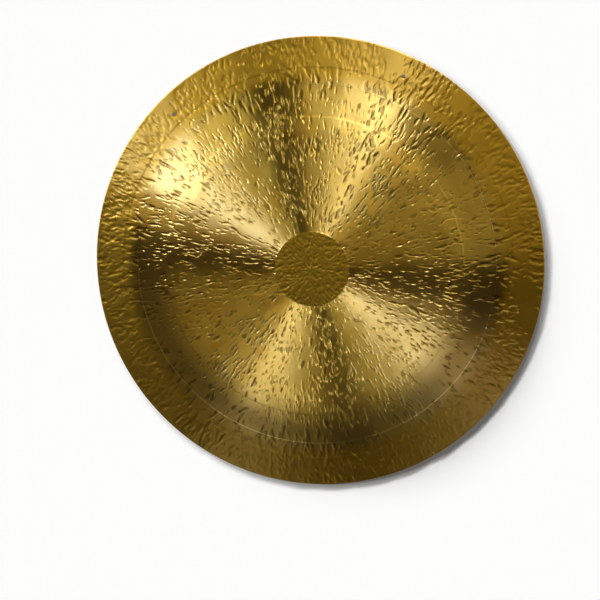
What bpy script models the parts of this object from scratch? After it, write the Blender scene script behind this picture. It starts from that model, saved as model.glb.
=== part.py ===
"""Feng gong (wind gong): one round plate of hammered bronze, lathed on both faces.

It lies face up, in metres, +Z up. The origin is on the gong's axis, in the plane that its rim
stands on. +Y is the side that hangs uppermost, where the two cord holes are.

From the axis outwards the plate is a raised striking disc that the lathe left alone, a wide lathed
field that is almost flat, a bend, a shoulder that falls away most steeply and eases again, and a rim
flange. The lathe cut a band over the bend and shoulder slightly deeper, between two fine turned
steps, and it stopped where the flange starts, so the flange is proud. The back of the rim is ground
to a narrow flat land, the only stretch that touches a table.
"""

import bpy
from math import cos, pi, radians, sin

OBJECT_NAME = "feng_gong"

# Driving dimensions
GONG_RADIUS = 0.3000
PLATE_THICKNESS = 0.0018    # of the lathed field

# Striking disc in the middle
DISC_RADIUS = 0.0485
DISC_PROUD = 0.0003         # how far it stands above the lathed field, on each face

# Section, level on the axis and falling outwards. Each stretch is a curve that starts with the slope
# that the stretch inside it ends with, so the plate has no crease.
FIELD_DROP = 0.0018         # from the axis to the start of the bend
BEND_WIDTH = 0.0440
BEND_DROP = 0.0059
SHOULDER_WIDTH = 0.0370
SHOULDER_DROP = 0.0070
FLANGE_WIDTH = 0.0390       # from the end of the lathe work to the rim
FLANGE_DROP = 0.0041

# Lathe work on the bend and shoulder, and where it stopped
BAND_CUT = 0.0002           # how much deeper the band is cut than the field, on each face
BAND_START_OFFSET = 0.0185  # from the start of the bend out to the band's inner step
BAND_END_OFFSET = 0.0210    # from the end of the lathe work in to the band's outer step
RIM_PROUD = 0.0002          # how far the flange stands above the lathed metal, on each face
STEP_WIDTH = 0.0010         # width of the slope at each turned step
LAND_WIDTH = 0.0025         # flat that is ground on the back of the rim

# Cord holes near the rim
HOLE_DIAMETER = 0.0050
HOLE_EDGE_DISTANCE = 0.0265     # from the rim in to the middle of a hole
HOLE_SPREAD = radians(68.0)     # angle between the two holes, seen from the axis
HOLE_CHAMFER = 0.0003

# How finely round shapes are divided
TURN_STEPS = 96
DISC_STEPS = 2
FIELD_STEPS = 4
BEND_STEPS = 3              # on each side of the band's inner step
SHOULDER_STEPS = 2          # on each side of the band's outer step
FLANGE_STEPS = 3
RIM_STEPS = 4
HOLE_STEPS = 24
MERGE_DISTANCE = 0.00001
CUTTER_MARGIN = 0.0020

# Radii that follow from the widths, from the rim inwards
LATHE_END = GONG_RADIUS - FLANGE_WIDTH
BEND_END = LATHE_END - SHOULDER_WIDTH
BEND_START = BEND_END - BEND_WIDTH
BAND_START = BEND_START + BAND_START_OFFSET
BAND_END = LATHE_END - BAND_END_OFFSET
RIM_EDGE_RADIUS = PLATE_THICKNESS / 2.0 + RIM_PROUD
FRONT_END = GONG_RADIUS - RIM_EDGE_RADIUS
LAND_START = FRONT_END - LAND_WIDTH

BRONZE_COLOUR = (0.60, 0.42, 0.12, 1.0)
BRONZE_ROUGHNESS = 0.33
BRONZE_METALLIC = 1.0


def clear_scene():
    for item in list(bpy.data.objects):
        bpy.data.objects.remove(item, do_unlink=True)


def new_collection(name):
    made = bpy.data.collections.new(name)
    bpy.context.scene.collection.children.link(made)
    return made


def bronze_material():
    material = bpy.data.materials.new("bronze")
    material.use_nodes = True
    shader = material.node_tree.nodes["Principled BSDF"]
    shader.inputs["Base Color"].default_value = BRONZE_COLOUR
    shader.inputs["Roughness"].default_value = BRONZE_ROUGHNESS
    shader.inputs["Metallic"].default_value = BRONZE_METALLIC
    return material


def fall(radius):
    """How far the plate has dropped at this radius below its middle; every stretch is a parabola."""
    stretches = (
        (BEND_START, FIELD_DROP),
        (BEND_WIDTH, BEND_DROP),
        (SHOULDER_WIDTH, SHOULDER_DROP),
        (FLANGE_WIDTH, FLANGE_DROP),
    )
    total = 0.0
    start = 0.0
    slope = 0.0
    for width, drop in stretches:
        end_slope = 2.0 * drop / width - slope
        run = min(max(radius - start, 0.0), width)
        total += slope * run + (end_slope - slope) * run * run / (2.0 * width)
        start += width
        slope = end_slope
    return total


def plate_height(radius):
    """Height of the plate's underside at this radius, before it was lathed."""
    return fall(LAND_START) - fall(radius) + RIM_PROUD


def step_share(radius, foot):
    """0 inside a turned step and 1 outside it; the slope ends at foot."""
    return min(1.0, max(0.0, (radius - foot + STEP_WIDTH) / STEP_WIDTH))


def proud_height(radius):
    """How far the metal stands above the lathed field on each face, or below it where negative."""
    disc = DISC_PROUD * (1.0 - step_share(radius, DISC_RADIUS + STEP_WIDTH))
    band = step_share(radius, BAND_START) * (1.0 - step_share(radius, BAND_END))
    flange = RIM_PROUD * step_share(radius, LATHE_END)
    return disc - BAND_CUT * band + flange


def spread(start, end, steps):
    """The radii that divide start to end into equal steps, with both ends."""
    return [start + (end - start) * i / steps for i in range(steps + 1)]


def plate_radii():
    """Radii of the turned profile's points, from the axis to the start of the rim's round edge."""
    radii = spread(0.0, DISC_RADIUS, DISC_STEPS)
    radii += spread(DISC_RADIUS + STEP_WIDTH, BEND_START, FIELD_STEPS)
    radii += spread(BEND_START, BAND_START - STEP_WIDTH, BEND_STEPS)
    radii += spread(BAND_START, BEND_END, BEND_STEPS)
    radii += spread(BEND_END, BAND_END - STEP_WIDTH, SHOULDER_STEPS)
    radii += spread(BAND_END, LATHE_END - STEP_WIDTH, SHOULDER_STEPS)
    radii += spread(LATHE_END, LAND_START, FLANGE_STEPS)
    radii.append(FRONT_END)
    in_order = []
    for radius in sorted(radii):
        if not in_order or radius - in_order[-1] > MERGE_DISTANCE:
            in_order.append(radius)
    return in_order


def front_height(radius):
    return plate_height(radius) + PLATE_THICKNESS + proud_height(radius)


def back_height(radius):
    """Outside the start of the land the back is ground away to height zero."""
    return max(0.0, plate_height(radius) - proud_height(radius))


def plate_profile():
    """The plate's section: out along the front, round the rim, and back to the axis underneath."""
    radii = plate_radii()
    front = [(radius, front_height(radius)) for radius in radii]
    back = [(radius, back_height(radius)) for radius in reversed(radii)]
    rim_top = front_height(FRONT_END)
    rim = []
    for i in range(1, RIM_STEPS):
        turn = pi * (0.5 - i / RIM_STEPS)
        rim.append((FRONT_END + RIM_EDGE_RADIUS * cos(turn), rim_top * (1.0 + sin(turn)) / 2.0))
    return front + rim + back


def turned_object(name, profile, steps, collection):
    """A solid of revolution about its own Z axis, from a profile that starts and ends on it."""
    mesh = bpy.data.meshes.new(name)
    points = [(radius, 0.0, height) for radius, height in profile]
    edges = [(i, i + 1) for i in range(len(points) - 1)]
    mesh.from_pydata(points, edges, [])
    made = bpy.data.objects.new(name, mesh)
    collection.objects.link(made)
    turn = made.modifiers.new("turn", "SCREW")
    turn.axis = "Z"
    turn.steps = steps
    turn.render_steps = steps
    turn.use_merge_vertices = True
    turn.merge_threshold = MERGE_DISTANCE
    turn.use_smooth_shade = True
    return made


def hole_cutter(name, angle, collection):
    """A drill with a small countersink at each face, standing where one cord hole goes."""
    radius = GONG_RADIUS - HOLE_EDGE_DISTANCE
    front = front_height(radius)
    back = back_height(radius)
    bore = HOLE_DIAMETER / 2.0
    flare = bore + HOLE_CHAMFER + CUTTER_MARGIN
    profile = [
        (0.0, front + CUTTER_MARGIN),
        (flare, front + CUTTER_MARGIN),
        (bore, front - HOLE_CHAMFER),
        (bore, back + HOLE_CHAMFER),
        (flare, back - CUTTER_MARGIN),
        (0.0, back - CUTTER_MARGIN),
    ]
    cutter = turned_object(name, profile, HOLE_STEPS, collection)
    cutter.location = (radius * cos(angle), radius * sin(angle), 0.0)
    cutter.hide_render = True
    cutter.display_type = "WIRE"
    return cutter


def drill(plate, cutter):
    cut = plate.modifiers.new(cutter.name, "BOOLEAN")
    cut.operation = "DIFFERENCE"
    cut.solver = "EXACT"
    cut.object = cutter


def build():
    clear_scene()
    parts = new_collection(OBJECT_NAME)
    cutters = new_collection("cutters")
    plate = turned_object("gong_plate", plate_profile(), TURN_STEPS, parts)
    plate.data.materials.append(bronze_material())
    top = pi / 2.0
    sides = {"left_hole_cutter": top + HOLE_SPREAD / 2.0, "right_hole_cutter": top - HOLE_SPREAD / 2.0}
    for name, angle in sides.items():
        drill(plate, hole_cutter(name, angle, cutters))


build()
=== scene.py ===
"""Looks of the feng gong: one hammered, lathed bronze plate, lying face up on a white floor.

The plate is turned again here as one fine closed mesh over the frame's plate, with every hammer
mark as real relief. All lengths are in metres, in the frame's own axes: +Z out of the played face,
+Y to the side that hangs uppermost.
"""

from math import atan2, cos, degrees, pi, radians, sin, sqrt

import bpy
import numpy as np
from mathutils import Matrix, Vector


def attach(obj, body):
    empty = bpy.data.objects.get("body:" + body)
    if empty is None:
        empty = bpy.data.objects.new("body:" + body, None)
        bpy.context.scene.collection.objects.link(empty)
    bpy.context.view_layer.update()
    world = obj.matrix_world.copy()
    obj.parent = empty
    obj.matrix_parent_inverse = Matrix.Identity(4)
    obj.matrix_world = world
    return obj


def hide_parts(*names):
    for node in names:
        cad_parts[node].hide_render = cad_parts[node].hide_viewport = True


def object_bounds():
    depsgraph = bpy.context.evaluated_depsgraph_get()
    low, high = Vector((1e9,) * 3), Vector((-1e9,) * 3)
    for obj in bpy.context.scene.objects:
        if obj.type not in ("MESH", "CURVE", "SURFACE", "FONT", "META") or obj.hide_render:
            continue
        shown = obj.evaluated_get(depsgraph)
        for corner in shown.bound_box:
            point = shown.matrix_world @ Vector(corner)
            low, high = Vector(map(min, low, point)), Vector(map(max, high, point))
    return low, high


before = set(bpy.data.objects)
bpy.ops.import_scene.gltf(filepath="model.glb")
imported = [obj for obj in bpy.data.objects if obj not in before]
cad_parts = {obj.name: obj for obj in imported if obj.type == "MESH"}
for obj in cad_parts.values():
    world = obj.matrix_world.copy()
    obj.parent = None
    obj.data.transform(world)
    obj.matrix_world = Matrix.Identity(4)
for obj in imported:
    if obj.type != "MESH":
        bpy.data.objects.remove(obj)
CAD_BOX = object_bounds()

# The plate, with the same sizes as the frame's
GONG_RADIUS = 0.3000
PLATE_THICKNESS = 0.0018
DISC_RADIUS = 0.0485
DISC_PROUD = 0.0003
FIELD_DROP = 0.0018
BEND_WIDTH = 0.0440
BEND_DROP = 0.0059
SHOULDER_WIDTH = 0.0370
SHOULDER_DROP = 0.0070
FLANGE_WIDTH = 0.0390
FLANGE_DROP = 0.0041
BAND_CUT = 0.0002
BAND_START_OFFSET = 0.0185
BAND_END_OFFSET = 0.0210
RIM_PROUD = 0.0002
STEP_WIDTH = 0.0010
LAND_WIDTH = 0.0025
HOLE_DIAMETER = 0.0050
HOLE_EDGE_DISTANCE = 0.0265
HOLE_SPREAD = radians(68.0)
HOLE_CHAMFER = 0.0003
HOLE_STEPS = 32
CUTTER_MARGIN = 0.0020

LATHE_END = GONG_RADIUS - FLANGE_WIDTH
BEND_END = LATHE_END - SHOULDER_WIDTH
BEND_START = BEND_END - BEND_WIDTH
BAND_START = BEND_START + BAND_START_OFFSET
BAND_END = LATHE_END - BAND_END_OFFSET
RIM_EDGE_RADIUS = PLATE_THICKNESS / 2.0 + RIM_PROUD
FRONT_END = GONG_RADIUS - RIM_EDGE_RADIUS
LAND_START = FRONT_END - LAND_WIDTH
HOLE_CIRCLE = GONG_RADIUS - HOLE_EDGE_DISTANCE
FIELD_MARKS_END = 0.2215
OXIDE_SHARE = 0.42
OXIDE_FROM = 0.00006
OXIDE_FULL = 0.00024
RIM_OXIDE = 0.35
RELIEF_DEPTH = 0.0006
GROOVE_LEAN = 0.040

# How finely the mesh is divided: outside each radius, this many steps round
FRONT_LEVELS = ((0.0, 360), (0.0250, 720), (0.0500, 1440), (0.1000, 2880))
BACK_LEVELS = ((0.0, 180), (0.0750, 360), (0.1500, 720))
FRONT_RADIAL_STEP = 0.0012
BACK_RADIAL_STEP = 0.0040
RIM_EDGE_STEPS = 6

# Camera
CAMERA_PLACE = (0.2357, 0.1649, 1.4623)
CAMERA_AIM = (-0.0255, -0.0413, 0.0)
CAMERA_UP_AZIMUTH = radians(81.0)
CAMERA_LENS = 67.2
SENSOR_WIDTH = 36.0

SHARP_EDGE = radians(40.0)

SEED = 24


def smooth(value, low, high):
    """0 below low, 1 above high, eased in between."""
    share = np.clip((value - low) / (high - low), 0.0, 1.0)
    return share * share * (3.0 - 2.0 * share)


def fall(radius):
    """How far the plate has dropped at radius below its middle; every stretch is a parabola."""
    stretches = (
        (BEND_START, FIELD_DROP),
        (BEND_WIDTH, BEND_DROP),
        (SHOULDER_WIDTH, SHOULDER_DROP),
        (FLANGE_WIDTH, FLANGE_DROP),
    )
    total = np.zeros_like(radius)
    start = 0.0
    slope = 0.0
    for width, drop in stretches:
        end_slope = 2.0 * drop / width - slope
        run = np.clip(radius - start, 0.0, width)
        total = total + slope * run + (end_slope - slope) * run * run / (2.0 * width)
        start += width
        slope = end_slope
    return total


def plate_height(radius):
    """Height of the plate's underside, before it was lathed."""
    return float(fall(np.array([LAND_START]))[0]) - fall(radius) + RIM_PROUD


def step_share(radius, foot):
    return np.clip((radius - foot + STEP_WIDTH) / STEP_WIDTH, 0.0, 1.0)


def proud_height(radius):
    """How far the metal stands above the lathed field, or below it where negative."""
    disc = DISC_PROUD * (1.0 - step_share(radius, DISC_RADIUS + STEP_WIDTH))
    band = step_share(radius, BAND_START) * (1.0 - step_share(radius, BAND_END))
    flange = RIM_PROUD * step_share(radius, LATHE_END)
    return disc - BAND_CUT * band + flange


def marks(count, inner, outer, width, length, steepness, tilt, seed, patchy=0.0):
    """Random hammer marks: place, turn, half width, half length and depth, in loose clusters."""
    rng = np.random.default_rng(seed)
    heading = rng.uniform(0.0, 2.0 * pi, 24)
    number = 2.0 * pi / rng.uniform(0.035, 0.110, 24)
    phase = rng.uniform(0.0, 2.0 * pi, 24)
    kept = []
    while len(kept) < count:
        radius = sqrt(rng.uniform(inner * inner, outer * outer))
        angle = rng.uniform(0.0, 2.0 * pi)
        along = radius * (np.cos(heading) * cos(angle) + np.sin(heading) * sin(angle))
        crowd = np.sin(number * along + phase).sum() / sqrt(12.0)
        if rng.uniform() < 0.5 + 0.5 * patchy * crowd:
            half_width = rng.uniform(*width) / 2.0
            kept.append((radius, angle, rng.normal(0.0, tilt), half_width,
                         rng.uniform(*length) / 2.0, half_width * rng.uniform(*steepness)))
    return kept


class Relief:
    """Height map over radius and angle that marks are pressed into, read back by interpolation."""

    def __init__(self, rings, turns):
        self.rings = rings
        self.turns = turns
        self.step = GONG_RADIUS / (rings - 1)
        self.radius = np.linspace(0.0, GONG_RADIUS, rings)
        self.angle = np.arange(turns) * 2.0 * pi / turns
        self.height = np.zeros((rings, turns))
        self.depth = self.height

    def press(self, dents, sharpness):
        for radius, angle, turn, half_width, half_length, depth in dents:
            reach = half_length * 1.6
            low = max(0, int((radius - reach) / self.step))
            high = min(self.rings, int((radius + reach) / self.step) + 2)
            span = int(reach / max(radius - reach, 0.01) * self.turns / (2.0 * pi)) + 2
            middle = int(round(angle / (2.0 * pi) * self.turns))
            columns = np.arange(middle - span, middle + span + 1)
            rows = self.radius[low:high, None]
            gap = (columns * 2.0 * pi / self.turns - angle)[None, :]
            along = rows * np.cos(gap) - radius
            across = rows * np.sin(gap)
            u = along * cos(turn) + across * sin(turn)
            v = across * cos(turn) - along * sin(turn)
            distance = (u / half_length) ** 2 + (v / half_width) ** 2
            dent = depth * np.exp(-distance ** sharpness * 1.2)
            self.height[low:high, columns % self.turns] -= dent

    def add_waves(self, wavelength, amplitude, seed, count=60):
        rng = np.random.default_rng(seed)
        x = self.radius[:, None] * np.cos(self.angle)[None, :]
        y = self.radius[:, None] * np.sin(self.angle)[None, :]
        for _ in range(count):
            heading = rng.uniform(0.0, 2.0 * pi)
            number = 2.0 * pi / (wavelength * rng.uniform(0.7, 1.4))
            phase = rng.uniform(0.0, 2.0 * pi)
            size = amplitude * sqrt(2.0 / count)
            self.height += size * np.sin(number * (x * cos(heading) + y * sin(heading)) + phase)

    def read(self, radius, angle, layer=None):
        layer = self.height if layer is None else layer
        row = np.clip(radius / self.step, 0.0, self.rings - 1.001)
        column = (angle % (2.0 * pi)) / (2.0 * pi) * self.turns
        row_low = row.astype(int)
        column_low = column.astype(int)
        fr = row - row_low
        fc = column - column_low
        c0 = column_low % self.turns
        c1 = (column_low + 1) % self.turns
        low = layer[row_low, c0] * (1.0 - fc) + layer[row_low, c1] * fc
        high = layer[row_low + 1, c0] * (1.0 - fc) + layer[row_low + 1, c1] * fc
        return low * (1.0 - fr) + high * fr


MM = 0.001
# Kinds of hammer marks: how many, from which radius to which, their width and length in mm, their
# depth over half their width, their turn away from radial, how square they are and how clustered
WORKED_MARKS = (
    (170, DISC_RADIUS, FIELD_MARKS_END, (3.0, 5.0), (6.0, 12.0), (0.10, 0.24), 0.40, 1.5, 0.6),
    (700, DISC_RADIUS, FIELD_MARKS_END, (1.6, 2.7), (6.0, 14.0), (0.11, 0.27), 0.15, 1.5, 0.6),
    (2800, DISC_RADIUS, FIELD_MARKS_END, (1.5, 2.5), (3.5, 7.5), (0.11, 0.28), 0.22, 1.5, 0.7),
    (200, FIELD_MARKS_END, BAND_END, (2.5, 4.5), (8.0, 18.0), (0.05, 0.20), 0.20, 1.4, 0.5),
    (480, BAND_END, LATHE_END, (2.5, 5.0), (6.0, 16.0), (0.06, 0.20), 0.40, 1.4, 0.4),
    (2800, LATHE_END, 0.2985, (2.2, 5.0), (5.0, 12.0), (0.04, 0.17), 0.45, 1.4, 0.6),
    (650, 0.002, DISC_RADIUS, (1.8, 3.4), (3.0, 6.0), (0.10, 0.30), 1.0, 1.6, 0.2),
)
FRESH_MARKS = (
    (450, DISC_RADIUS, FIELD_MARKS_END, (1.8, 2.6), (3.0, 5.5), (0.28, 0.46), 0.35, 1.8, 0.5),
    (300, FIELD_MARKS_END, 0.2985, (1.8, 2.8), (3.0, 6.0), (0.20, 0.40), 0.50, 1.6, 0.5),
)


def hammered_relief():
    """Relief of the played face, and the depth of the old marks, which keep their oxide."""
    relief = Relief(601, 2880)
    for number, kind in enumerate(WORKED_MARKS + FRESH_MARKS):
        if number == len(WORKED_MARKS):
            relief.depth = -relief.height
        count, inner, outer, width, length, steepness, tilt, sharpness, patchy = kind
        dents = marks(count, inner, outer, [v * MM for v in width], [v * MM for v in length],
                      steepness, tilt, SEED + number, patchy)
        relief.press(dents, sharpness)
    relief.add_waves(0.045, 0.00006, SEED + 50)
    relief.height = RELIEF_DEPTH * np.tanh(relief.height / RELIEF_DEPTH)
    return relief


def ring_radii(levels, step, stops):
    """Radii of the mesh's rings, dense enough everywhere and exactly on the turned steps."""
    radii = list(stops)
    inner = 0.0
    for stop in sorted(stops):
        parts = max(1, int(round((stop - inner) / step)))
        radii += [inner + (stop - inner) * i / parts for i in range(1, parts)]
        inner = stop
    kept = []
    for radius in sorted(radii):
        if radius > 0.0002 and (not kept or radius - kept[-1] > 0.0002):
            kept.append(radius)
    return kept


def turns_at(levels, radius):
    turns = levels[0][1]
    for start, count in levels:
        if radius >= start - 1e-6:
            turns = count
    return turns


def build_plate():
    """The closed plate mesh: a front sheet, a round edge and a back sheet, with ring levels."""
    relief = hammered_relief()
    stops = [0.0250, DISC_RADIUS, DISC_RADIUS + STEP_WIDTH, 0.0750, 0.1000, 0.1500, BEND_START, BAND_START - STEP_WIDTH,
             BAND_START, BEND_END, BAND_END - STEP_WIDTH, BAND_END, LATHE_END - STEP_WIDTH, LATHE_END,
             LAND_START, FRONT_END]
    points = []
    faces = []
    depths = []

    def add_ring(radius, turns, heights, dents=None):
        start = len(points)
        depths.extend(np.zeros(turns) if dents is None else dents)
        angle = np.arange(turns) * 2.0 * pi / turns
        for a, z in zip(angle, heights):
            points.append((radius * cos(a), radius * sin(a), z))
        return start, turns

    def bridge(inner, outer, up):
        (a, n), (b, m) = inner, outer
        ratio = m // n
        for i in range(n):
            j = (i + 1) % n
            if ratio == 1:
                face = (a + i, b + i, b + j, a + j)
            else:
                face = (a + i, b + 2 * i, b + 2 * i + 1, b + (2 * i + 2) % m, a + j)
            faces.append(face if up else face[::-1])

    def sheet(levels, step, height_of, up):
        rings = []
        for radius in ring_radii(levels, step, stops):
            turns = turns_at(levels, radius)
            angle = np.arange(turns) * 2.0 * pi / turns
            at = np.full(turns, radius)
            dents = relief.read(at, angle, relief.depth) if up else None
            rings.append(add_ring(radius, turns, height_of(at, angle), dents))
        centre = len(points)
        depths.append(0.0)
        points.append((0.0, 0.0, float(height_of(np.zeros(1), np.zeros(1))[0])))
        first, turns = rings[0]
        for i in range(turns):
            face = (centre, first + i, first + (i + 1) % turns)
            faces.append(face if up else face[::-1])
        for inner, outer in zip(rings, rings[1:]):
            bridge(inner, outer, up)
        return rings[-1]

    def front(radius, angle):
        height = plate_height(radius) + PLATE_THICKNESS + proud_height(radius)
        return np.minimum(height + relief.read(radius, angle), CAD_BOX[1][2])

    def back(radius, angle):
        height = plate_height(radius) - proud_height(radius)
        ease = smooth(LAND_START - radius, 0.0, 0.006)
        return np.maximum(height + 0.5 * ease * relief.read(radius, -angle), 0.0)

    front_edge = sheet(FRONT_LEVELS, FRONT_RADIAL_STEP, front, True)
    back_edge = sheet(BACK_LEVELS, BACK_RADIAL_STEP, back, False)
    last = front_edge
    turns = front_edge[1]
    top = np.array([points[front_edge[0] + i][2] for i in range(turns)])
    bottom_turns = back_edge[1]
    bottom = np.array([points[back_edge[0] + i // (turns // bottom_turns)][2] for i in range(turns)])
    for k in range(1, RIM_EDGE_STEPS):
        turn = pi * (0.5 - k / RIM_EDGE_STEPS)
        half = (top - bottom) / 2.0
        ring = add_ring(FRONT_END + RIM_EDGE_RADIUS * cos(turn), turns, (top + bottom) / 2.0 + half * sin(turn))
        bridge(last, ring, True)
        last = ring
    (a, n), (b, m) = back_edge, last
    ratio = m // n
    for i in range(n):
        outer = [b + (ratio * i + k) % m for k in range(ratio + 1)]
        faces.append(tuple(outer[::-1] + [a + i, a + (i + 1) % n]))
    mesh = bpy.data.meshes.new("gong")
    mesh.from_pydata(points, [], faces)
    mesh.validate()
    mesh.update()
    mesh.attributes.new("dent", "FLOAT", "POINT").data.foreach_set("value", depths)
    return mesh


def hole_cutter(name, angle):
    """A drill with a small countersink at each face, standing where one cord hole goes."""
    at = np.array([HOLE_CIRCLE])
    thick = PLATE_THICKNESS + float(proud_height(at)[0])
    back = float(plate_height(at)[0]) - float(proud_height(at)[0])
    front = float(plate_height(at)[0]) + thick
    bore = HOLE_DIAMETER / 2.0
    flare = bore + HOLE_CHAMFER + CUTTER_MARGIN
    profile = ((flare, front + CUTTER_MARGIN), (bore, front - HOLE_CHAMFER),
               (bore, back + HOLE_CHAMFER), (flare, back - CUTTER_MARGIN))
    middle = Vector((HOLE_CIRCLE * cos(angle), HOLE_CIRCLE * sin(angle), 0.0))
    points = []
    for radius, height in profile:
        for i in range(HOLE_STEPS):
            turn = 2.0 * pi * i / HOLE_STEPS
            points.append(middle + Vector((radius * cos(turn), radius * sin(turn), height)))
    faces = [tuple(range(HOLE_STEPS)), tuple(range(len(points) - 1, len(points) - 1 - HOLE_STEPS, -1))]
    for ring in range(len(profile) - 1):
        for i in range(HOLE_STEPS):
            j = (i + 1) % HOLE_STEPS
            upper, lower = ring * HOLE_STEPS, (ring + 1) * HOLE_STEPS
            faces.append((upper + i, lower + i, lower + j, upper + j))
    mesh = bpy.data.meshes.new(name)
    mesh.from_pydata(points, [], faces)
    return new_object(name, mesh)


def drill_holes(plate):
    """Cuts the two cord holes through the plate, and keeps only the cut mesh."""
    cutters = [hole_cutter("left_drill", pi / 2.0 + HOLE_SPREAD / 2.0),
               hole_cutter("right_drill", pi / 2.0 - HOLE_SPREAD / 2.0)]
    for cutter in cutters:
        cut = plate.modifiers.new(cutter.name, "BOOLEAN")
        cut.operation = "DIFFERENCE"
        cut.solver = "MANIFOLD"
        cut.object = cutter
    ready = bpy.context.evaluated_depsgraph_get()
    drilled = bpy.data.meshes.new_from_object(plate.evaluated_get(ready))
    plate.modifiers.clear()
    drilled.materials.clear()
    plate.data = drilled
    for cutter in cutters:
        bpy.data.objects.remove(cutter, do_unlink=True)


def new_object(name, mesh):
    made = bpy.data.objects.new(name, mesh)
    bpy.context.scene.collection.objects.link(made)
    return made


def add_uv(mesh):
    """Seen from above for the front, and the back laid beside it."""
    layer = mesh.uv_layers.new(name="OFBake")
    count = len(mesh.loops)
    verts = np.empty(len(mesh.vertices) * 3)
    mesh.vertices.foreach_get("co", verts)
    verts = verts.reshape(-1, 3)
    loop_verts = np.empty(count, dtype=np.int32)
    mesh.loops.foreach_get("vertex_index", loop_verts)
    normals = np.empty(len(mesh.polygons) * 3)
    mesh.polygons.foreach_get("normal", normals)
    normals = normals.reshape(-1, 3)
    totals = np.empty(len(mesh.polygons), dtype=np.int32)
    mesh.polygons.foreach_get("loop_total", totals)
    down = np.repeat(normals[:, 2] < 0.0, totals)
    place = verts[loop_verts, :2] / (2.0 * GONG_RADIUS)
    uv = np.empty((count, 2))
    uv[:, 0] = np.where(down, 0.75 - place[:, 0] * 0.49, 0.25 + place[:, 0] * 0.49)
    uv[:, 1] = 0.25 + place[:, 1] * 0.49
    layer.data.foreach_set("uv", uv.ravel())


class Nodes:
    """Short calls to add and link shader nodes."""

    def __init__(self, material):
        material.use_nodes = True
        self.tree = material.node_tree
        self.shader = self.tree.nodes["Principled BSDF"]

    def add(self, kind, **settings):
        node = self.tree.nodes.new(kind)
        for name, value in settings.items():
            setattr(node, name, value)
        return node

    def link(self, source, target):
        self.tree.links.new(source, target)

    def math(self, operation, first, second=None, clamp=False):
        node = self.add("ShaderNodeMath", operation=operation, use_clamp=clamp)
        for socket, value in zip(node.inputs, (first, second)):
            if value is None:
                continue
            if isinstance(value, (int, float)):
                socket.default_value = value
            else:
                self.link(value, socket)
        return node.outputs[0]

    def remap(self, value, low, high, to_low, to_high):
        node = self.add("ShaderNodeMapRange", interpolation_type="SMOOTHSTEP")
        self.link(value, node.inputs["Value"])
        node.inputs["From Min"].default_value = low
        node.inputs["From Max"].default_value = high
        node.inputs["To Min"].default_value = to_low
        node.inputs["To Max"].default_value = to_high
        return node.outputs["Result"]

    def ring(self, radius, middle, half_width):
        """1 within half_width of the middle radius, 0 elsewhere."""
        node = self.add("ShaderNodeMath", operation="COMPARE")
        self.link(radius, node.inputs[0])
        node.inputs[1].default_value = middle
        node.inputs[2].default_value = half_width
        return node.outputs[0]

    def mix(self, factor, first, second):
        node = self.add("ShaderNodeMix", data_type="RGBA")
        if isinstance(factor, (int, float)):
            node.inputs[0].default_value = factor
        else:
            self.link(factor, node.inputs[0])
        for socket, value in ((node.inputs[6], first), (node.inputs[7], second)):
            if isinstance(value, tuple):
                socket.default_value = value + (1.0,)
            else:
                self.link(value, socket)
        return node.outputs[2]

    def dim(self, colour, share):
        """The colour times share, which is a value."""
        node = self.add("ShaderNodeVectorMath", operation="SCALE")
        self.link(colour, node.inputs[0])
        self.link(share, node.inputs["Scale"])
        return node.outputs[0]

    def noise(self, vector, scale, detail=3.0, roughness=0.5):
        node = self.add("ShaderNodeTexNoise")
        self.link(vector, node.inputs["Vector"])
        node.inputs["Scale"].default_value = scale
        node.inputs["Detail"].default_value = detail
        node.inputs["Roughness"].default_value = roughness
        return node.outputs["Fac"]


BRIGHT_GOLD = (0.93, 0.66, 0.215)
BRIGHT_PATINA = (0.86, 0.57, 0.15)
BRIGHT_BEND = (0.45, 0.31, 0.098)
BRIGHT_RIM = (0.44, 0.28, 0.066)
DEEP_GOLD = (0.70, 0.40, 0.020)
DEEP_PATINA = (0.52, 0.28, 0.008)
RIM_BROWN = (0.475, 0.276, 0.027)
# Ring of freshly turned metal on the step at BAND_END, partly a painted highlight: it is paler than the metal beside it
# so that it stands in for the bright line the step reflects
CLEAN_CUT_AND_HIGHLIGHT = (0.68, 0.49, 0.18)
CLEAN_CUT_AND_HIGHLIGHT_WIDTH = 0.0010
DISC_BROWN = (0.354, 0.214, 0.022)


def lobe(nodes, roughness, anisotropic):
    shader = nodes.add("ShaderNodeBsdfPrincipled")
    shader.inputs["Metallic"].default_value = 1.0
    shader.inputs["Roughness"].default_value = roughness
    shader.inputs["Anisotropic"].default_value = anisotropic
    shader.inputs["Anisotropic Rotation"].default_value = 0.25
    tangent = nodes.add("ShaderNodeTangent", direction_type="RADIAL", axis="Z")
    nodes.link(tangent.outputs[0], shader.inputs["Tangent"])
    return shader


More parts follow.
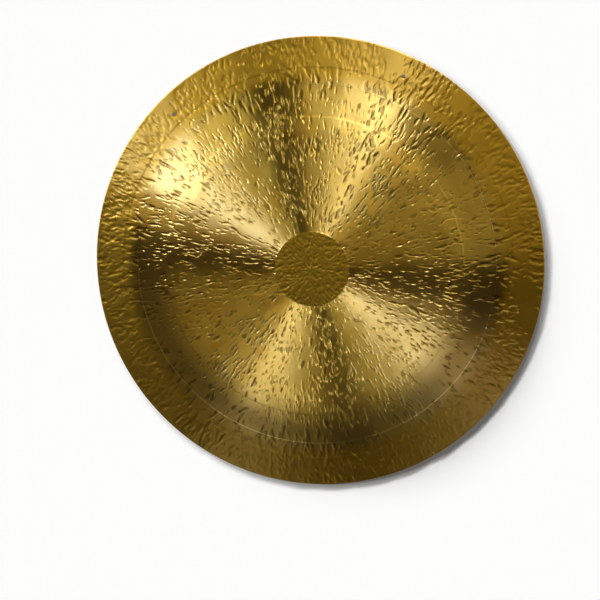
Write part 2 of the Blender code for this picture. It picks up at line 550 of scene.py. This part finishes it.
def bronze_material():
    material = bpy.data.materials.new("hammered_bronze")
    nodes = Nodes(material)
    nodes.tree.nodes.remove(nodes.shader)
    place = nodes.add("ShaderNodeTexCoord").outputs["Object"]
    split = nodes.add("ShaderNodeSeparateXYZ")
    nodes.link(place, split.inputs[0])
    x, y = split.outputs[0], split.outputs[1]
    radius = nodes.math("SQRT", nodes.math("ADD", nodes.math("MULTIPLY", x, x), nodes.math("MULTIPLY", y, y)))

    in_disc = nodes.remap(radius, DISC_RADIUS, DISC_RADIUS + STEP_WIDTH, 1.0, 0.0)
    on_rim = nodes.remap(radius, LATHE_END - 0.002, LATHE_END + 0.012, 0.0, 1.0)
    patches = nodes.remap(nodes.noise(place, 28.0, 4.0, 0.6), 0.35, 0.7, 0.0, 1.0)

    # Lathe grooves: fine rings of uneven depth, and a fine grain everywhere
    rings = nodes.add("ShaderNodeCombineXYZ")
    nodes.link(radius, rings.inputs[0])
    grooves = nodes.noise(rings.outputs[0], 1500.0, 2.0, 0.7)
    grain = nodes.noise(place, 900.0, 2.0, 0.6)
    lathed = nodes.math("SUBTRACT", 1.0, nodes.math("MAXIMUM", in_disc, on_rim))
    height = nodes.math("ADD", nodes.math("MULTIPLY", grooves, lathed), nodes.math("MULTIPLY", grain, 0.5))
    bump = nodes.add("ShaderNodeBump")
    bump.inputs["Strength"].default_value = 0.15
    bump.inputs["Distance"].default_value = 0.0001
    nodes.link(height, bump.inputs["Height"])
    lean = nodes.add("ShaderNodeBump")
    lean.inputs["Strength"].default_value = 1.0
    lean.inputs["Distance"].default_value = GROOVE_LEAN
    leaning = nodes.math("MINIMUM", nodes.math("MAXIMUM", radius, DISC_RADIUS), BEND_START)
    nodes.link(leaning, lean.inputs["Height"])
    nodes.link(lean.outputs[0], bump.inputs["Normal"])

    # The lathe didn't reach the bottoms of the hammer marks, so they keep their dark oxide
    dent = nodes.add("ShaderNodeAttribute", attribute_name="dent").outputs["Fac"]
    oxide = nodes.remap(dent, OXIDE_FROM, OXIDE_FULL, 0.0, OXIDE_SHARE)
    oxide = nodes.math("MULTIPLY", oxide, nodes.remap(radius, BAND_END, LATHE_END, 1.0, RIM_OXIDE))
    kept = nodes.math("SUBTRACT", 1.0, oxide)

    over_bend = nodes.remap(radius, BEND_START, BEND_END, 0.0, 1.0)
    on_flange = nodes.remap(radius, BAND_END, LATHE_END, 0.0, 1.0)
    bright = lobe(nodes, 0.334, 1.0)
    colour = nodes.mix(patches, BRIGHT_GOLD, BRIGHT_PATINA)
    colour = nodes.mix(over_bend, colour, BRIGHT_BEND)
    colour = nodes.dim(nodes.mix(on_flange, colour, BRIGHT_RIM), kept)
    # Painted highlight: the step's ring is mixed to the paler clean-cut colour to stand in for the bright line it
    # reflects
    cut = nodes.ring(radius, BAND_END - STEP_WIDTH / 2.0, CLEAN_CUT_AND_HIGHLIGHT_WIDTH / 2.0)
    nodes.link(nodes.mix(cut, colour, CLEAN_CUT_AND_HIGHLIGHT), bright.inputs["Base Color"])
    nodes.link(bump.outputs[0], bright.inputs["Normal"])

    deep = lobe(nodes, 0.33, 0.0)
    rough = nodes.remap(radius, BAND_END, LATHE_END, 0.34, 0.42)
    rough = nodes.math("ADD", rough, nodes.math("MULTIPLY", in_disc, 0.10))
    nodes.link(rough, deep.inputs["Roughness"])
    colour = nodes.mix(patches, DEEP_GOLD, DEEP_PATINA)
    colour = nodes.mix(on_flange, colour, RIM_BROWN)
    nodes.link(nodes.mix(in_disc, colour, DISC_BROWN), deep.inputs["Base Color"])
    nodes.link(bump.outputs[0], deep.inputs["Normal"])
    share = nodes.math("SUBTRACT", 0.96, nodes.math("MAXIMUM", nodes.math("MULTIPLY", in_disc, 0.96),
                                                      nodes.math("MULTIPLY", on_flange, 0.46)))
    both = nodes.add("ShaderNodeMixShader")
    nodes.link(share, both.inputs[0])
    nodes.link(deep.outputs[0], both.inputs[1])
    nodes.link(bright.outputs[0], both.inputs[2])
    nodes.link(both.outputs[0], nodes.tree.nodes["Material Output"].inputs["Surface"])
    return material


def floor_material():
    material = bpy.data.materials.new("white_floor")
    nodes = Nodes(material)
    tree = nodes.tree
    tree.nodes.remove(nodes.shader)
    diffuse = nodes.add("ShaderNodeBsdfDiffuse")
    diffuse.inputs["Color"].default_value = (0.88, 0.885, 0.89, 1.0)
    glow = nodes.add("ShaderNodeEmission")
    glow.inputs["Color"].default_value = (0.98, 0.99, 1.0, 1.0)
    path = nodes.add("ShaderNodeLightPath")
    seen = nodes.math("MAXIMUM", path.outputs["Is Camera Ray"], path.outputs["Is Glossy Ray"])
    seen = nodes.math("MAXIMUM", seen, path.outputs["Is Transmission Ray"])
    nodes.link(nodes.math("MULTIPLY", seen, 0.10), glow.inputs["Strength"])
    both = nodes.add("ShaderNodeAddShader")
    nodes.link(diffuse.outputs[0], both.inputs[0])
    nodes.link(glow.outputs[0], both.inputs[1])
    nodes.link(both.outputs[0], tree.nodes["Material Output"].inputs["Surface"])
    return material


def make_floor():
    size = 30.0
    mesh = bpy.data.meshes.new("floor")
    mesh.from_pydata([(-size, -size, -0.0001), (size, -size, -0.0001), (size, size, -0.0001), (-size, size, -0.0001)],
                     [], [(0, 1, 2, 3)])
    floor = new_object("floor", mesh)
    floor.data.materials.append(floor_material())
    return floor


def make_world():
    world = bpy.data.worlds.new("studio")
    bpy.context.scene.world = world
    world.use_nodes = True
    tree = world.node_tree
    background = tree.nodes["Background"]
    place = tree.nodes.new("ShaderNodeTexCoord")
    split = tree.nodes.new("ShaderNodeSeparateXYZ")
    tree.links.new(place.outputs["Generated"], split.inputs[0])
    fade = tree.nodes.new("ShaderNodeMapRange")
    fade.interpolation_type = "SMOOTHSTEP"
    tree.links.new(split.outputs[2], fade.inputs["Value"])
    fade.inputs["From Min"].default_value = sin(radians(WORLD_BRIGHT_TO))
    fade.inputs["From Max"].default_value = sin(radians(WORLD_DIM_FROM))
    fade.inputs["To Min"].default_value = WORLD_HORIZON
    fade.inputs["To Max"].default_value = WORLD_TOP
    tree.links.new(fade.outputs["Result"], background.inputs["Strength"])
    background.inputs["Color"].default_value = (1.0, 0.80, 0.40, 1.0)
    # Above the floor's far edge the camera sees plain white, which lights nothing
    backdrop = tree.nodes.new("ShaderNodeBackground")
    backdrop.inputs["Color"].default_value = (0.98, 0.98, 0.98, 1.0)
    path = tree.nodes.new("ShaderNodeLightPath")
    both = tree.nodes.new("ShaderNodeMixShader")
    tree.links.new(path.outputs["Is Camera Ray"], both.inputs[0])
    tree.links.new(background.outputs[0], both.inputs[1])
    tree.links.new(backdrop.outputs[0], both.inputs[2])
    tree.links.new(both.outputs[0], tree.nodes["World Output"].inputs["Surface"])


WORLD_BRIGHT_TO = 10.0
WORLD_DIM_FROM = 24.0
WORLD_HORIZON = 0.25
WORLD_TOP = 0.02


def aim(made, azimuth, elevation, distance):
    direction = Vector((cos(azimuth) * cos(elevation), sin(azimuth) * cos(elevation), sin(elevation)))
    made.location = direction * distance
    made.rotation_euler = direction.to_track_quat("Z", "Y").to_euler()
    made.visible_camera = False


def only_on(made, *receivers):
    """Keeps a lamp's light on the named objects."""
    group = bpy.data.collections.new(made.name + "_receivers")
    for receiver in receivers:
        group.objects.link(receiver)
    made.light_linking.receiver_collection = group


def softbox(name, clock, elevation, wide, high, radiance, colour):
    """A rectangular lamp that spans wide by high degrees as seen from the gong."""
    light = bpy.data.lights.new(name, "AREA")
    light.shape = "RECTANGLE"
    light.size = LAMP_DISTANCE * radians(wide) * cos(radians(elevation))
    light.size_y = LAMP_DISTANCE * radians(high)
    light.color = colour
    light.energy = radiance * pi * light.size * light.size_y
    made = bpy.data.objects.new(name, light)
    bpy.context.scene.collection.objects.link(made)
    aim(made, picture_azimuth(clock), radians(elevation), LAMP_DISTANCE)
    return made


def sun(name, clock, elevation, spread, floor_share):
    """A broad sun that gives this share of white on a level floor."""
    light = bpy.data.lights.new(name, "SUN")
    light.angle = radians(spread)
    light.energy = floor_share * pi / sin(radians(elevation))
    made = bpy.data.objects.new(name, light)
    bpy.context.scene.collection.objects.link(made)
    aim(made, picture_azimuth(clock), radians(elevation), LAMP_DISTANCE)
    return made


def picture_azimuth(clock):
    """World azimuth of a direction in the picture, given clockwise from its right."""
    return radians(351.4 - clock)


LAMP_DISTANCE = 5.0
# Each lamp's direction in the picture and its elevation, its span across and upwards, its radiance
# and its colour
SOFTBOXES = (
    ("left_core", 200.0, 30.0, 10.0, 27.0, 19.0, (0.87, 1.0, 1.38)),
    ("left_outer", 190.0, 25.5, 10.0, 18.0, 4.2, (1.26, 1.0, 0.31)),
    ("left_inner", 210.0, 30.0, 10.0, 27.0, 12.3, (0.95, 1.0, 1.10)),
    ("left_far", 225.0, 30.0, 20.0, 27.0, 5.4, (1.05, 1.0, 0.47)),
    ("top_core", 289.0, 34.5, 11.0, 36.0, 15.5, (0.95, 1.0, 0.98)),
    ("top_inner", 278.0, 30.0, 10.0, 27.0, 13.0, (1.03, 1.0, 0.88)),
    ("top_left", 265.0, 30.0, 20.0, 27.0, 3.4, (1.35, 1.0, 0.20)),
    ("top_middle", 265.0, 52.5, 20.0, 18.0, 1.8, (0.60, 1.0, 1.00)),
    ("overhead", 300.0, 80.0, 40.0, 19.0, 2.4, (1.20, 1.0, 0.37)),
    ("right_wide", 345.0, 34.5, 40.0, 18.0, 3.0, (1.17, 1.0, 0.38)),
    ("lower_right", 45.0, 30.0, 20.0, 27.0, 0.75, (1.50, 1.0, 0.15)),
)
# The floor's suns: direction in the picture, elevation, spread and the share of white they give
FLOOR_SUNS = (
    ("floor_sun_1", 185.0, 9.0, 5.0, 0.145),
    ("floor_sun_2", 205.0, 8.5, 5.0, 0.173),
    ("floor_sun_3", 225.0, 8.0, 5.0, 0.346),
    ("floor_sun_4", 245.0, 8.5, 5.0, 0.184),
    ("floor_sun_5", 265.0, 9.0, 5.0, 0.122),
)


def make_lights(gong, floor):
    for settings in SOFTBOXES:
        only_on(softbox(*settings), gong)
    for settings in FLOOR_SUNS:
        only_on(sun(*settings), floor)


def make_camera():
    data = bpy.data.cameras.new("camera")
    data.lens = CAMERA_LENS
    data.sensor_width = SENSOR_WIDTH
    camera = bpy.data.objects.new("camera", data)
    bpy.context.scene.collection.objects.link(camera)
    place = Vector(CAMERA_PLACE)
    back = (place - Vector(CAMERA_AIM)).normalized()
    up = Vector((cos(CAMERA_UP_AZIMUTH), sin(CAMERA_UP_AZIMUTH), 0.0))
    right = up.cross(back).normalized()
    up = back.cross(right)
    camera.matrix_world = Matrix((
        (right.x, up.x, back.x, place.x),
        (right.y, up.y, back.y, place.y),
        (right.z, up.z, back.z, place.z),
        (0.0, 0.0, 0.0, 1.0)))
    bpy.context.scene.camera = camera



gong = new_object("gong", build_plate())
drill_holes(gong)
gong.data.shade_smooth()
gong.data.set_sharp_from_angle(angle=SHARP_EDGE)
add_uv(gong.data)
gong.data.materials.append(bronze_material())
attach(gong, "root")
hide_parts("gong_plate")

floor = make_floor()
make_world()
make_lights(gong, floor)
make_camera()
bpy.context.scene.view_settings.view_transform = "Standard"
